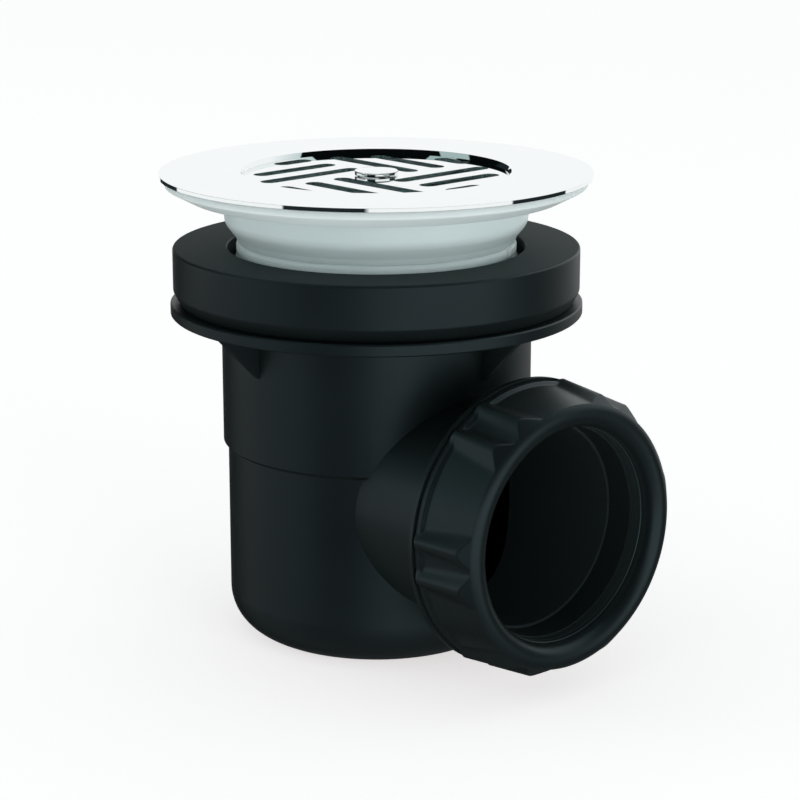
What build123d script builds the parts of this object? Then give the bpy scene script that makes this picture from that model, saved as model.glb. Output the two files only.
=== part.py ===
from build123d import *
import os
from math import atan, atan2, cos, dist, radians, sin, sqrt, tan

os.makedirs("parts", exist_ok=True)

# Shower trap with a side outlet. Millimetres. The origin is on the drain's axis at
# the underside of the body, +Z is up, and the outlet points along +X.

# Heights, stacked up from the floor the body stands on
body_height = 67.9          # underside of the body to the top of its flange
gasket_thickness = 10.9
tray_gap = 10.3             # room for the shower tray, above the gasket
rim_depth = 3.65            # tray seat to the underside of the chrome ring
plate_thickness = 0.75

# Chrome ring and grid
plate_diameter = 85.0
plate_edge_round = 0.12
hem_wall = 0.75             # turned-down rim round the recess
recess_diameter = 53.0
recess_depth = 1.0          # face of the ring to the face of the grid
grid_thickness = 1.2
grid_clearance = 0.1        # round the grid, in the recess
grid_edge_chamfer = 0.2
slot_width = 3.5
slot_inset = 8.2            # grid's middle to the centre line of a group's first slot
slot_pitch = 7.25           # centre line to centre line
slot_overrun = 2.4          # past the middle line, at a slot's inner end
slot_margin = 2.8           # plain rim of the grid outside the slots' ends
slot_groups = 4
grid_turn = 3.0             # degrees, position of the first group

# Knob riveted through the grid
knob_diameter = 8.5
knob_neck_diameter = 7.4
knob_neck_height = 0.15
knob_rim_height = 0.75
knob_rim_draft = 0.1        # rim's top inside its foot
knob_crown = 0.1
rivet_diameter = 3.8
rivet_clearance = 0.1
rivet_head_diameter = 6.4
rivet_head_height = 0.8

# White upper flange
rim_inset = 1.0             # inside the chrome ring's edge
rim_band = 1.5              # upright part of the rim
tray_seat_width = 7.5
collar_diameter = 59.8      # passes through a 60 mm hole in the tray
collar_height = 5.7
collar_round = 2.0
collar_taper = 1.9
collar_step = 2.15          # collar to the tail
tail_wall = 2.75
tail_ring_drop = 1.7        # plain neck between the collar's taper and the ring
tail_ring_height = 2.4
tail_ring_step = 0.45
tail_reach = 6.0            # thread engaged below the top of the body
insert_lip_height = 2.1     # inner lip at the tail's foot, which carries the insert
insert_lip_width = 1.5
seat_clearance = 0.1        # round the ring's hem, in the flange

# Black gasket under the tray
gasket_inset = 0.6          # inside the body's flange
gasket_gap = 1.65           # round the tail
gasket_edge = 0.4
gasket_chamfer_width = 1.4
gasket_chamfer_height = 2.5

# Trap body
flange_diameter = 81.5
flange_thickness = 2.3
flange_edge = 0.25
neck_wall = 2.35            # round the threaded neck
step_width = 0.95           # lower wall inside the upper one
step_height = 39.0          # underside to the foot of the step
step_rise = 0.8
wall = 3.0
floor_thickness = 3.0
bottom_radius = 9.0
thread_height = 0.5         # left plain on the tail, allowed for in the neck
thread_clearance = 0.15
neck_depth = 14.0           # threaded length of the neck
gusset_count = 4
gusset_height = 9.0
gusset_thickness = 1.2
gusset_inset = 0.8          # kept back from the flange's edge
gusset_turn = 2.5           # degrees, position of the first gusset

# Outlet spigot, along +X. The pipe's size sets the spigot, its seal and the nut
outlet_height = 32.0
spigot_length = 50.0        # drain axis to the spigot's mouth
pipe_diameter = 40.0
pipe_clearance = 0.2
pipe_shoulder = 0.3         # stop for the pipe's end, round the bore
seal_seat_depth = 4.0       # cone in the spigot's mouth
seal_seat_foot_width = 1.0  # round the pipe
seal_seat_mouth_width = 2.0
mouth_wall = 0.7            # spigot's mouth, outside the seal's seat
spigot_thread_length = 7.0
spigot_thread_step = 0.7    # thread's root above the plain spigot

# Pipe seal, slip ring and nut
seal_clearance = 0.15
seal_head = 1.6             # stands out of the spigot's mouth
slip_ring_thickness = 1.5
slip_ring_gap = 0.05
slip_ring_bore_clearance = 0.5
nut_thread_room = 0.7       # root to root, for the two thread ridges left plain
nut_pocket_clearance = 0.25
nut_overhang = 0.4          # behind the spigot's thread
nut_collar_wall = 4.3       # round collar at the nut's back, outside the thread
nut_collar_width = 0.9
nut_line_width = 0.25       # fine groove between the collar and the band
nut_line_depth = 0.4
nut_band_wall = 3.8         # round band in front of the collar
nut_band_width = 1.5
band_bevel = 0.3            # band's sloping front
panel_wall = 3.2            # tapered panels between the lobes, beside the band
panel_end_wall = 1.5        # and where they reach the rim
rim_round = 1.65            # rounded front edge, after a slope of 45 degrees
rim_reach = 4.2             # slip ring to the rim's front
lip_clearance = 0.75        # round the pipe
lip_width = 0.8             # straight part of the opening

# Lobes of the nut: two ridges side by side, each with a sloping flank on either side
lobe_count = 6
lobe_turn = 33.8            # degrees, position of the first lobe
ridge_spacing = 7.0
ridge_top_width = 1.1
ridge_round = 0.9
ridge_foot_round = 1.4      # where flanks meet the panels and the valley
round_limit = 0.99          # share of a lobe's face that the rounds at its ends may use up
ridge_bevel = 1.0           # sloping back end
tip_length = 0.6            # rounded front end, from crest and slope to the arc's ends
ridge_back_wall = 4.75      # thread to the crests, at the band
ridge_front_wall = 3.15     # and at the rim's front
valley_back_width = 3.8     # between the two ridges
valley_front_width = 0.8
lobe_back_width = 11.4      # over the two outer flanks
lobe_front_width = 14.4

# Removable insert: funnel with its tube, its ring seal and the water cup
insert_clearance = 0.2      # round the funnel, in the tail
insert_rim_height = 3.6
insert_rim_width = 1.9
funnel_depth = 9.0
tube_diameter = 29.0
tube_wall = 1.8
tube_foot_gap = 8.0         # tube's end above the cup's floor
tube_rib_count = 3
tube_rib_thickness = 1.6
tube_rib_drop = 2.0         # top of the ribs below the cup's rim
grip_thickness = 3.0        # cross bar by which the insert is lifted out
grip_height = 7.0
ring_seal_section = 1.8
ring_seal_clearance = 0.05
ring_groove_clearance = 0.1
cup_diameter = 42.0
cup_wall = 1.8
cup_floor = 2.0
cup_height = 43.0
cup_bottom_radius = 4.0
cup_rib_clearance = 0.3

# Heights and radii that follow from the sizes above
gasket_top = body_height + gasket_thickness
tray_seat_z = gasket_top + tray_gap
plate_under_z = tray_seat_z + rim_depth
plate_top_z = plate_under_z + plate_thickness
grid_top_z = plate_top_z - recess_depth
grid_seat_z = grid_top_z - grid_thickness
grid_radius = recess_diameter / 2 - grid_clearance
slot_field_radius = grid_radius - slot_margin
slot_line_limit = sqrt(slot_field_radius**2 - slot_width**2)
slots_in_group = 1 + int((slot_line_limit - slot_inset) / slot_pitch)
tail_foot_z = body_height - tail_reach
collar_radius = collar_diameter / 2
tail_radius = collar_radius - collar_step
tail_bore_radius = tail_radius - tail_wall
gasket_radius = flange_diameter / 2 - gasket_inset
gasket_hole_radius = tail_radius + gasket_gap
insert_seat_z = tail_foot_z + insert_lip_height
insert_top_z = insert_seat_z + insert_rim_height
insert_radius = tail_bore_radius - insert_clearance
flange_under_z = body_height - flange_thickness
neck_radius = tail_radius + thread_height + thread_clearance
neck_foot_z = body_height - neck_depth
upper_radius = neck_radius + neck_wall
lower_radius = upper_radius - step_width
upper_bore = upper_radius - wall
lower_bore = lower_radius - wall
cup_floor_z = floor_thickness + cup_floor
cup_rim_z = floor_thickness + cup_height
cup_bore = cup_diameter / 2 - cup_wall
tube_foot_z = cup_floor_z + tube_foot_gap
tube_radius = tube_diameter / 2

# Radii round the outlet's axis
pipe_radius = pipe_diameter / 2
pipe_bore = pipe_radius + pipe_clearance
spigot_bore_radius = pipe_radius - pipe_shoulder
seat_foot_radius = pipe_radius + seal_seat_foot_width
seat_mouth_radius = pipe_radius + seal_seat_mouth_width
seal_radius = seat_mouth_radius - seal_clearance
spigot_thread_radius = seat_mouth_radius + mouth_wall
spigot_radius = spigot_thread_radius - spigot_thread_step
nut_thread_radius = spigot_thread_radius + nut_thread_room
nut_pocket_radius = seal_radius + nut_pocket_clearance
nut_lip_radius = pipe_radius + lip_clearance
nut_collar_radius = nut_thread_radius + nut_collar_wall
band_radius = nut_thread_radius + nut_band_wall
panel_radius = nut_thread_radius + panel_wall
panel_end_radius = nut_thread_radius + panel_end_wall
nut_rim_radius = nut_thread_radius
ridge_back_crest = nut_thread_radius + ridge_back_wall
ridge_front_crest = nut_thread_radius + ridge_front_wall

# Places along the outlet's axis, from the drain's axis
thread_start = spigot_length - spigot_thread_length
seat_foot = spigot_length - seal_seat_depth
seal_end = spigot_length + seal_head
ring_start = seal_end + slip_ring_gap
ring_end = ring_start + slip_ring_thickness
nut_back = thread_start - nut_overhang
nut_seat = ring_end + slip_ring_gap
nut_front = ring_end + rim_reach
band_start = nut_back + nut_collar_width + nut_line_width
panel_start = band_start + nut_band_width
rim_round_side = rim_round * sqrt(0.5)
rim_slope_end = nut_front - rim_round + rim_round_side
rim_slope_radius = nut_rim_radius + rim_round_side
panel_end = rim_slope_end + rim_slope_radius - panel_end_radius
panel_taper = (panel_radius - panel_end_radius) / (panel_end - panel_start)
crest_taper = (ridge_back_crest - ridge_front_crest) / (nut_front - band_start)
rim_slope_reach = rim_slope_end + rim_slope_radius
tip_corner = (rim_slope_reach - ridge_back_crest - crest_taper * band_start) / (1 - crest_taper)
tip_corner_radius = rim_slope_reach - tip_corner


def turned(points):
    """Solid of revolution about the drain's axis, from (radius, height) corners."""
    outline = Plane.XZ * Polyline(*points, close=True)
    return revolve(make_face(outline), Axis.Z)


def turned_on_outlet(points):
    """Solid of revolution about the X axis, from (distance along, radius) corners."""
    return revolve(make_face(Polyline(*points, close=True)), Axis.X)


def at_outlet(piece):
    """Lift a piece made on the X axis up to the outlet."""
    return Pos(0, 0, outlet_height) * piece


def across_outlet(along):
    """Plane square to the outlet: its x runs along Y and its y along Z."""
    return Plane(origin=(along, 0, 0), x_dir=(0, 1, 0), z_dir=(1, 0, 0))


def make_cover_plate():
    """Flat chrome ring whose inner rim is turned down to the grid's seat."""
    outer = plate_diameter / 2
    inner = recess_diameter / 2
    edge = plate_edge_round
    return turned([
        (inner, grid_seat_z),
        (inner + hem_wall, grid_seat_z),
        (inner + hem_wall, plate_under_z),
        (outer - edge, plate_under_z),
        (outer, plate_under_z + edge),
        (outer, plate_top_z - edge),
        (outer - edge, plate_top_z),
        (inner + edge, plate_top_z),
        (inner, plate_top_z - edge),
    ])


def grid_slot(offset):
    """Round-ended slot along Y, from the grid's middle line out to the slot field."""
    reach = sqrt(slot_field_radius**2 - offset**2)
    length = reach + slot_overrun
    middle = (slot_overrun - reach) / 2
    outline = Pos(-offset, middle) * Rot(0, 0, 90) * SlotOverall(length, slot_width)
    return Pos(0, 0, grid_seat_z) * extrude(outline, grid_thickness)


def make_grid():
    """Chrome disc with groups of parallel slots, each group square to the next."""
    edge = grid_edge_chamfer
    disc = turned([
        (rivet_diameter / 2 + rivet_clearance, grid_seat_z),
        (grid_radius, grid_seat_z),
        (grid_radius, grid_top_z - edge),
        (grid_radius - edge, grid_top_z),
        (rivet_diameter / 2 + rivet_clearance, grid_top_z),
    ])
    slots = []
    for group in range(slot_groups):
        turn = Rot(0, 0, grid_turn + group * 360 / slot_groups)
        for number in range(slots_in_group):
            slots.append(turn * grid_slot(slot_inset + slot_pitch * number))
    return disc - slots


def make_grid_knob():
    """Low knob with a lens-shaped top, on a stem riveted over under the grid."""
    neck_top = grid_top_z + knob_neck_height
    rim_top = neck_top + knob_rim_height
    crown_radius = knob_diameter / 2 - knob_rim_draft
    crown = TangentArc((0, rim_top + knob_crown), (crown_radius, rim_top), tangent=(1, 0))
    sides = Polyline(
        (0, rim_top + knob_crown),
        (0, grid_seat_z - rivet_head_height),
        (rivet_head_diameter / 2, grid_seat_z - rivet_head_height),
        (rivet_head_diameter / 2, grid_seat_z),
        (rivet_diameter / 2, grid_seat_z),
        (rivet_diameter / 2, grid_top_z),
        (knob_neck_diameter / 2, grid_top_z),
        (knob_neck_diameter / 2, neck_top),
        (knob_diameter / 2, neck_top),
        (crown_radius, rim_top),
    )
    return revolve(make_face(Plane.XZ * (crown + sides)), Axis.Z)


def make_upper_flange():
    """White moulding: rim under the chrome ring, tray seat, collar, ring and threaded tail."""
    rim_radius = plate_diameter / 2 - rim_inset
    hem_radius = recess_diameter / 2 + hem_wall + seat_clearance
    collar_foot_z = tray_seat_z - collar_height
    neck_top_z = collar_foot_z - collar_taper
    ring_top_z = neck_top_z - tail_ring_drop
    ring_foot_z = ring_top_z - tail_ring_height
    ring_radius = tail_radius + tail_ring_step
    lip_radius = tail_bore_radius - insert_lip_width
    outline = make_face(Polyline(
        (lip_radius, tail_foot_z),
        (tail_radius, tail_foot_z),
        (tail_radius, ring_foot_z),
        (ring_radius, ring_foot_z + tail_ring_step),
        (ring_radius, ring_top_z - tail_ring_step),
        (tail_radius, ring_top_z),
        (tail_radius, neck_top_z),
        (collar_radius, collar_foot_z),
        (collar_radius, tray_seat_z),
        (collar_radius + tray_seat_width, tray_seat_z),
        (rim_radius, plate_under_z - rim_band),
        (rim_radius, plate_under_z),
        (hem_radius, plate_under_z),
        (hem_radius, grid_seat_z),
        (tail_bore_radius, grid_seat_z),
        (tail_bore_radius, insert_seat_z),
        (lip_radius, insert_seat_z),
        close=True,
    ))
    collar_foot = outline.vertices().sort_by_distance((collar_radius, collar_foot_z))[0]
    return revolve(Plane.XZ * fillet(collar_foot, collar_round), Axis.Z)


def make_tray_gasket():
    """Thick rubber ring that the tray lies on, bevelled at its lower edge."""
    outer = gasket_radius
    inner = gasket_hole_radius
    return turned([
        (inner, body_height),
        (outer - gasket_chamfer_width, body_height),
        (outer, body_height + gasket_chamfer_height),
        (outer, gasket_top - gasket_edge),
        (outer - gasket_edge, gasket_top),
        (inner + gasket_edge, gasket_top),
        (inner, gasket_top - gasket_edge),
    ])


def body_outside():
    """Outer form of the body: flange, stepped wall and rounded bottom."""
    lower = lower_radius
    upper = upper_radius
    outer = flange_diameter / 2
    edge = flange_edge
    corner = bottom_radius * (1 - sin(radians(45)))
    bottom = ThreePointArc(
        (lower - bottom_radius, 0),
        (lower - corner, corner),
        (lower, bottom_radius),
    )
    sides = Polyline(
        (lower, bottom_radius),
        (lower, step_height),
        (upper, step_height + step_rise),
        (upper, flange_under_z),
        (outer - edge, flange_under_z),
        (outer, flange_under_z + edge),
        (outer, body_height - edge),
        (outer - edge, body_height),
        (0, body_height),
        (0, 0),
        (lower - bottom_radius, 0),
    )
    return revolve(make_face(Plane.XZ * (bottom + sides)), Axis.Z)


def body_inside():
    """Hollow of the body: threaded neck, wall that follows the step, rounded floor."""
    radius = bottom_radius - wall
    corner = radius * (1 - sin(radians(45)))
    floor = ThreePointArc(
        (lower_bore - radius, floor_thickness),
        (lower_bore - corner, floor_thickness + corner),
        (lower_bore, floor_thickness + radius),
    )
    sides = Polyline(
        (lower_bore, floor_thickness + radius),
        (lower_bore, step_height),
        (upper_bore, step_height + step_rise),
        (upper_bore, neck_foot_z - step_rise),
        (neck_radius, neck_foot_z),
        (neck_radius, body_height),
        (0, body_height),
        (0, floor_thickness),
        (lower_bore - radius, floor_thickness),
    )
    return revolve(make_face(Plane.XZ * (floor + sides)), Axis.Z)


def make_gusset():
    """Thin triangular web between the flange and the wall, in the XZ plane."""
    upper = upper_radius
    web = Plane.XZ * Polyline(
        (upper - wall / 2, flange_under_z),
        (flange_diameter / 2 - gusset_inset, flange_under_z),
        (upper, flange_under_z - gusset_height),
        (upper - wall / 2, flange_under_z - gusset_height),
        close=True,
    )
    return extrude(make_face(web), gusset_thickness / 2, both=True)


def spigot_outside():
    """Outlet tube with its thicker threaded end."""
    return turned_on_outlet([
        (0, 0),
        (spigot_length, 0),
        (spigot_length, spigot_thread_radius),
        (thread_start, spigot_thread_radius),
        (thread_start, spigot_radius),
        (0, spigot_radius),
    ])


def spigot_inside():
    """Water way of the outlet, with the cone in its mouth for the pipe seal."""
    return turned_on_outlet([
        (0, 0),
        (spigot_length, 0),
        (spigot_length, seat_mouth_radius),
        (seat_foot, seat_foot_radius),
        (seat_foot, spigot_bore_radius),
        (0, spigot_bore_radius),
    ])


def make_body():
    """One black moulding: flange, gussets, stepped wall, rounded bottom and spigot."""
    gussets = []
    for number in range(gusset_count):
        gussets.append(Rot(0, 0, gusset_turn + number * 360 / gusset_count) * make_gusset())
    solid = body_outside() + at_outlet(spigot_outside()) + gussets
    return solid - body_inside() - at_outlet(spigot_inside())


def make_outlet_seal():
    """Rubber cone in the spigot's mouth, which grips the waste pipe."""
    foot = seat_foot + seal_clearance
    return at_outlet(turned_on_outlet([
        (foot, pipe_bore),
        (foot, seat_foot_radius - seal_clearance),
        (spigot_length, seal_radius),
        (seal_end, seal_radius),
        (seal_end, pipe_bore),
    ]))


def make_slip_ring():
    """Thin ring that lets the nut turn without dragging the seal."""
    bore = pipe_radius + slip_ring_bore_clearance
    return at_outlet(turned_on_outlet([
        (ring_start, bore),
        (ring_start, seal_radius),
        (ring_end, seal_radius),
        (ring_end, bore),
    ]))


def nut_rings():
    """Turned back of the nut: round collar, fine groove and band."""
    collar_end = nut_back + nut_collar_width
    line_radius = band_radius - nut_line_depth
    return turned_on_outlet([
        (nut_back, 0),
        (nut_back, nut_collar_radius),
        (collar_end, nut_collar_radius),
        (collar_end, line_radius),
        (band_start, line_radius),
        (band_start, band_radius),
        (panel_start - band_bevel, band_radius),
        (panel_start + band_bevel, panel_radius - band_bevel),
        (panel_start + band_bevel, 0),
    ])


def lobe_corners(panel, crest, valley_width, lobe_width):
    """Corners of one lobe's section: flank, ridge, valley, ridge, flank."""
    middle = ridge_spacing / 2
    top = sqrt(crest**2 - middle**2)
    side = [
        (valley_width / 2, sqrt(panel**2 - valley_width**2 / 4)),
        (middle - ridge_top_width / 2, top),
        (middle + ridge_top_width / 2, top),
        (lobe_width / 2, sqrt(panel**2 - lobe_width**2 / 4)),
    ]
    other_side = [(-across, out) for across, out in reversed(side)]
    return other_side + side


def flank_bend(foot, crest):
    """Tangent of half the bend between a flank and the level faces at its two ends."""
    return tan(atan2(crest[1] - foot[1], abs(crest[0] - foot[0])) / 2)


def lobe_rounds(corners):
    """Rounds of a lobe's crests and feet, limited by the faces that they are cut from."""
    valley, crest_start, crest_end, foot = corners[4:]
    inner = flank_bend(valley, crest_start)
    outer = flank_bend(foot, crest_end)
    crest_round = min(ridge_round, round_limit * ridge_top_width / (inner + outer))
    flank_room = min(dist(valley, crest_start) / inner, dist(crest_end, foot) / outer) - crest_round
    foot_room = round_limit * min(valley[0] / inner, flank_room)
    return crest_round, min(ridge_foot_round, foot_room)


def lobed_section(along, crest, valley_width, lobe_width):
    """Section of the nut: lobes with rounded ridges, and round panels between them."""
    panel = panel_radius - panel_taper * (along - panel_start)
    step = 360 / lobe_count
    corners = lobe_corners(panel, crest, valley_width, lobe_width)
    crest_round, foot_round = lobe_rounds(corners)
    lobe = Polyline(*corners)
    next_lobe = Rot(0, 0, -step) * lobe
    half_way = Vector(0, panel).rotate(Axis.Z, -step / 2)
    arc = ThreePointArc(lobe @ 1, half_way, next_lobe @ 0)
    outline = []
    for number in range(lobe_count):
        turn = Rot(0, 0, number * step)
        outline.extend([turn * lobe, turn * arc])
    section = make_face(outline)
    crests = [v for v in section.vertices() if Vector(v.X, v.Y).length > (panel + crest) / 2]
    section = fillet(crests, crest_round)
    feet = [v for v in section.vertices() if Vector(v.X, v.Y).length < panel + 0.01]
    return across_outlet(along) * fillet(feet, foot_round)


def lobed_drum():
    """Nut without its bore: lofted from back to front, with the ridges' back ends bevelled."""
    outside = ridge_back_crest + 1
    sections = [
        lobed_section(band_start, ridge_back_crest, valley_back_width, lobe_back_width),
        lobed_section(nut_front, ridge_front_crest, valley_front_width, lobe_front_width),
    ]
    limit = turned_on_outlet([
        (band_start, 0),
        (band_start, band_radius),
        (band_start + ridge_bevel, outside),
        (nut_front + 1, outside),
        (nut_front + 1, 0),
    ])
    return Rot(lobe_turn, 0, 0) * loft(sections, ruled=True) & limit


def nut_bore():
    """Inside of the nut: thread, pocket of the slip ring and the pipe's opening."""
    return turned_on_outlet([
        (nut_back - 1, 0),
        (nut_back - 1, nut_thread_radius),
        (spigot_length, nut_thread_radius),
        (ring_start, nut_pocket_radius),
        (nut_seat, nut_pocket_radius),
        (nut_seat, nut_lip_radius),
        (nut_front + 1, nut_lip_radius),
        (nut_front + 1, 0),
    ])


def nut_front_waste():
    """What the ridges' rounded tips, the rim's slope, its round and the mouth leave away."""
    outside = ridge_back_crest + 2
    slope_end = (rim_slope_end, rim_slope_radius)
    front = (nut_front, nut_rim_radius)
    mouth_end = (nut_seat + lip_width, nut_lip_radius - 0.1)
    tip_end = (tip_corner + tip_length * sqrt(0.5), tip_corner_radius - tip_length * sqrt(0.5))
    crest_angle = atan(crest_taper)
    tip_start = (
        tip_corner - tip_length * cos(crest_angle),
        tip_corner_radius + tip_length * sin(crest_angle),
    )
    tip = TangentArc(tip_end, tip_start, tangent=(-1, 1))
    slope = Line(tip_end, slope_end)
    rim = TangentArc(slope_end, front, tangent=(1, -1))
    mouth = TangentArc(front, mouth_end, tangent=(0, -1))
    rest = Polyline(
        mouth_end,
        (mouth_end[0], 0),
        (nut_front + 2, 0),
        (nut_front + 2, outside),
        (tip_start[0], outside),
        tip_start,
    )
    return revolve(make_face([tip, slope, rim, mouth, rest]), Axis.X)


def make_outlet_nut():
    """Hand nut: a tapered drum with lobes to grip it by, rounded off at the front."""
    nut = nut_rings() + lobed_drum() - nut_front_waste() - nut_bore()
    return at_outlet(nut)


def make_dip_tube():
    """Funnel that hangs in the tail, with its tube, centring ribs and grip bar."""
    inner = tube_radius - tube_wall
    rim_inner = insert_radius - insert_rim_width - ring_seal_section
    lip_radius = tail_bore_radius - insert_lip_width - insert_clearance
    groove_foot_z = insert_seat_z + (insert_rim_height - ring_seal_section) / 2 - ring_groove_clearance
    groove_top_z = insert_top_z - (insert_rim_height - ring_seal_section) / 2 + ring_groove_clearance
    groove = insert_radius - ring_seal_section
    funnel_foot_z = insert_seat_z - funnel_depth
    shell = turned([
        (inner, tube_foot_z),
        (tube_radius, tube_foot_z),
        (tube_radius, funnel_foot_z),
        (lip_radius, insert_seat_z - tube_wall),
        (lip_radius, insert_seat_z),
        (insert_radius, insert_seat_z),
        (insert_radius, groove_foot_z),
        (groove, groove_foot_z),
        (groove, groove_top_z),
        (insert_radius, groove_top_z),
        (insert_radius, insert_top_z),
        (rim_inner, insert_top_z),
        (rim_inner, insert_seat_z),
        (inner, funnel_foot_z + tube_wall),
    ])
    rib_top_z = cup_rim_z - tube_rib_drop
    rib_reach = cup_bore - cup_rib_clearance
    rib = Pos(inner + tube_wall / 2, 0, tube_foot_z) * Box(
        rib_reach - inner - tube_wall / 2, tube_rib_thickness, rib_top_z - tube_foot_z,
        align=(Align.MIN, Align.CENTER, Align.MIN))
    ribs = [Rot(0, 0, 60 + turn * 360 / tube_rib_count) * rib for turn in range(tube_rib_count)]
    grip = Pos(0, 0, funnel_foot_z) * Box(
        2 * inner + tube_wall, grip_thickness, grip_height,
        align=(Align.CENTER, Align.CENTER, Align.MAX))
    return shell + ribs + grip


def make_dip_tube_seal():
    """Ring of round section in the funnel's groove, against the tail's bore."""
    section_radius = ring_seal_section / 2 - ring_seal_clearance
    middle = tail_bore_radius - ring_seal_clearance - section_radius
    section = Plane.XZ * Pos(middle, insert_seat_z + insert_rim_height / 2) * Circle(section_radius)
    return revolve(section, Axis.Z)


def make_trap_cup():
    """Cup round the tube, standing on the body's floor: it holds the water seal."""
    outer = cup_diameter / 2
    corner = cup_bottom_radius * (1 - cos(radians(45)))
    bottom = ThreePointArc(
        (outer - cup_bottom_radius, floor_thickness),
        (outer - corner, floor_thickness + corner),
        (outer, floor_thickness + cup_bottom_radius),
    )
    inner_radius = cup_bottom_radius - cup_wall
    inner_corner = inner_radius * (1 - cos(radians(45)))
    hollow = ThreePointArc(
        (cup_bore, cup_floor_z + inner_radius),
        (cup_bore - inner_corner, cup_floor_z + inner_corner),
        (cup_bore - inner_radius, cup_floor_z),
    )
    outside = Polyline(
        (outer, floor_thickness + cup_bottom_radius),
        (outer, cup_rim_z),
        (cup_bore, cup_rim_z),
        (cup_bore, cup_floor_z + inner_radius),
    )
    inside = Polyline(
        (cup_bore - inner_radius, cup_floor_z),
        (0, cup_floor_z),
        (0, floor_thickness),
        (outer - cup_bottom_radius, floor_thickness),
    )
    return revolve(make_face(Plane.XZ * (bottom + outside + hollow + inside)), Axis.Z)


pieces = {
    "cover_plate": make_cover_plate(),
    "grid": make_grid(),
    "grid_knob": make_grid_knob(),
    "upper_flange": make_upper_flange(),
    "tray_gasket": make_tray_gasket(),
    "body": make_body(),
    "outlet_seal": make_outlet_seal(),
    "slip_ring": make_slip_ring(),
    "outlet_nut": make_outlet_nut(),
    "dip_tube": make_dip_tube(),
    "dip_tube_seal": make_dip_tube_seal(),
    "trap_cup": make_trap_cup(),
}

for name, piece in pieces.items():
    export_step(piece, f"parts/{name}.step")
    print(name, "volume", round(piece.volume, 1))
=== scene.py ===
# %% [markdown]
# A shower trap in three layers: a chrome cover with a slotted grid, a white flange that
# screws down through the shower tray, and a black moulded body with a side outlet and a
# hand nut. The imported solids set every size. This script adds what solids leave plain:
# rounded edges, threads, finishes, light and the camera.

# %% Load the frame
import math
import bpy
import numpy as np
from mathutils import Matrix, Vector
from mathutils.bvhtree import BVHTree


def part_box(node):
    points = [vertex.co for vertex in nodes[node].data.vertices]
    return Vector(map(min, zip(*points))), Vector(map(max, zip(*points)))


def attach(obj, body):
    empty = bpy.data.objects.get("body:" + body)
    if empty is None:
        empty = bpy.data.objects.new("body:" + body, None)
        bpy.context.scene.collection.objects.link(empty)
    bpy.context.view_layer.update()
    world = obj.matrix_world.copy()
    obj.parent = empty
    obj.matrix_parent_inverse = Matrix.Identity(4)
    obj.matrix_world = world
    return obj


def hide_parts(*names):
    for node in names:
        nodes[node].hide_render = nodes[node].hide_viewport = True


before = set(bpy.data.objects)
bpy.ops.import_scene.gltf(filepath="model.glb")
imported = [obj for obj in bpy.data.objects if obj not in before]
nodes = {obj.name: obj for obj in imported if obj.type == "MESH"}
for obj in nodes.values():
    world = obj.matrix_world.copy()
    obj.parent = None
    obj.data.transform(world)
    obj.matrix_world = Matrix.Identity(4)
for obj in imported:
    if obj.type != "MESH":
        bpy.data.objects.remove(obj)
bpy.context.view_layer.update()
MM = 0.001
print("nodes", sorted(nodes))

# %% [markdown]
# Node trees are built from code here, so three small helpers keep that short: one starts a
# Geometry Nodes tree with named inputs, one adds a node with its settings, constants and
# links in one call, and one ends a tree in real geometry with a material on it. The same
# thing can be done by hand in the node editor, but code gives the same tree on every run.

# %% Node helpers


def new_tree(name, inputs):
    """Geometry Nodes tree with a geometry output, and the named inputs given."""
    tree = bpy.data.node_groups.new(name, "GeometryNodeTree")
    tree.interface.new_socket("Geometry", in_out="OUTPUT", socket_type="NodeSocketGeometry")
    for label, kind in inputs:
        tree.interface.new_socket(label, in_out="INPUT", socket_type="NodeSocket" + kind)
    start = tree.nodes.new("NodeGroupInput")
    end = tree.nodes.new("NodeGroupOutput")
    return tree, start, end


def add_node(tree, kind, links=None, settings=None, values=None):
    """One node, with its properties set, its constants set and its inputs linked."""
    node = tree.nodes.new(kind)
    for key, value in (settings or {}).items():
        setattr(node, key, value)
    for key, value in (values or {}).items():
        node.inputs[key].default_value = value
    for key, socket in (links or {}).items():
        tree.links.new(socket, node.inputs[key])
    return node


def end_tree(tree, end, geometry, material):
    """Every tree ends in real geometry with its material on it."""
    real = add_node(tree, "GeometryNodeRealizeInstances", {"Geometry": geometry})
    painted = add_node(
        tree, "GeometryNodeSetMaterial", {"Geometry": real.outputs[0], "Material": material},
    )
    tree.links.new(painted.outputs[0], end.inputs[0])


print("node helpers", [helper.__name__ for helper in (new_tree, add_node, end_tree)])

# %% [markdown]
# Four pieces here are bodies of revolution, so one Geometry Nodes tree turns them all. The
# profile is a curve whose points carry their own corner radius, as a drawing would give it.
# A lathe in mesh code would work too, but the tree keeps the profile, the corner radii and
# the number of segments as separate inputs.

# %% Turned-piece tree


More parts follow.
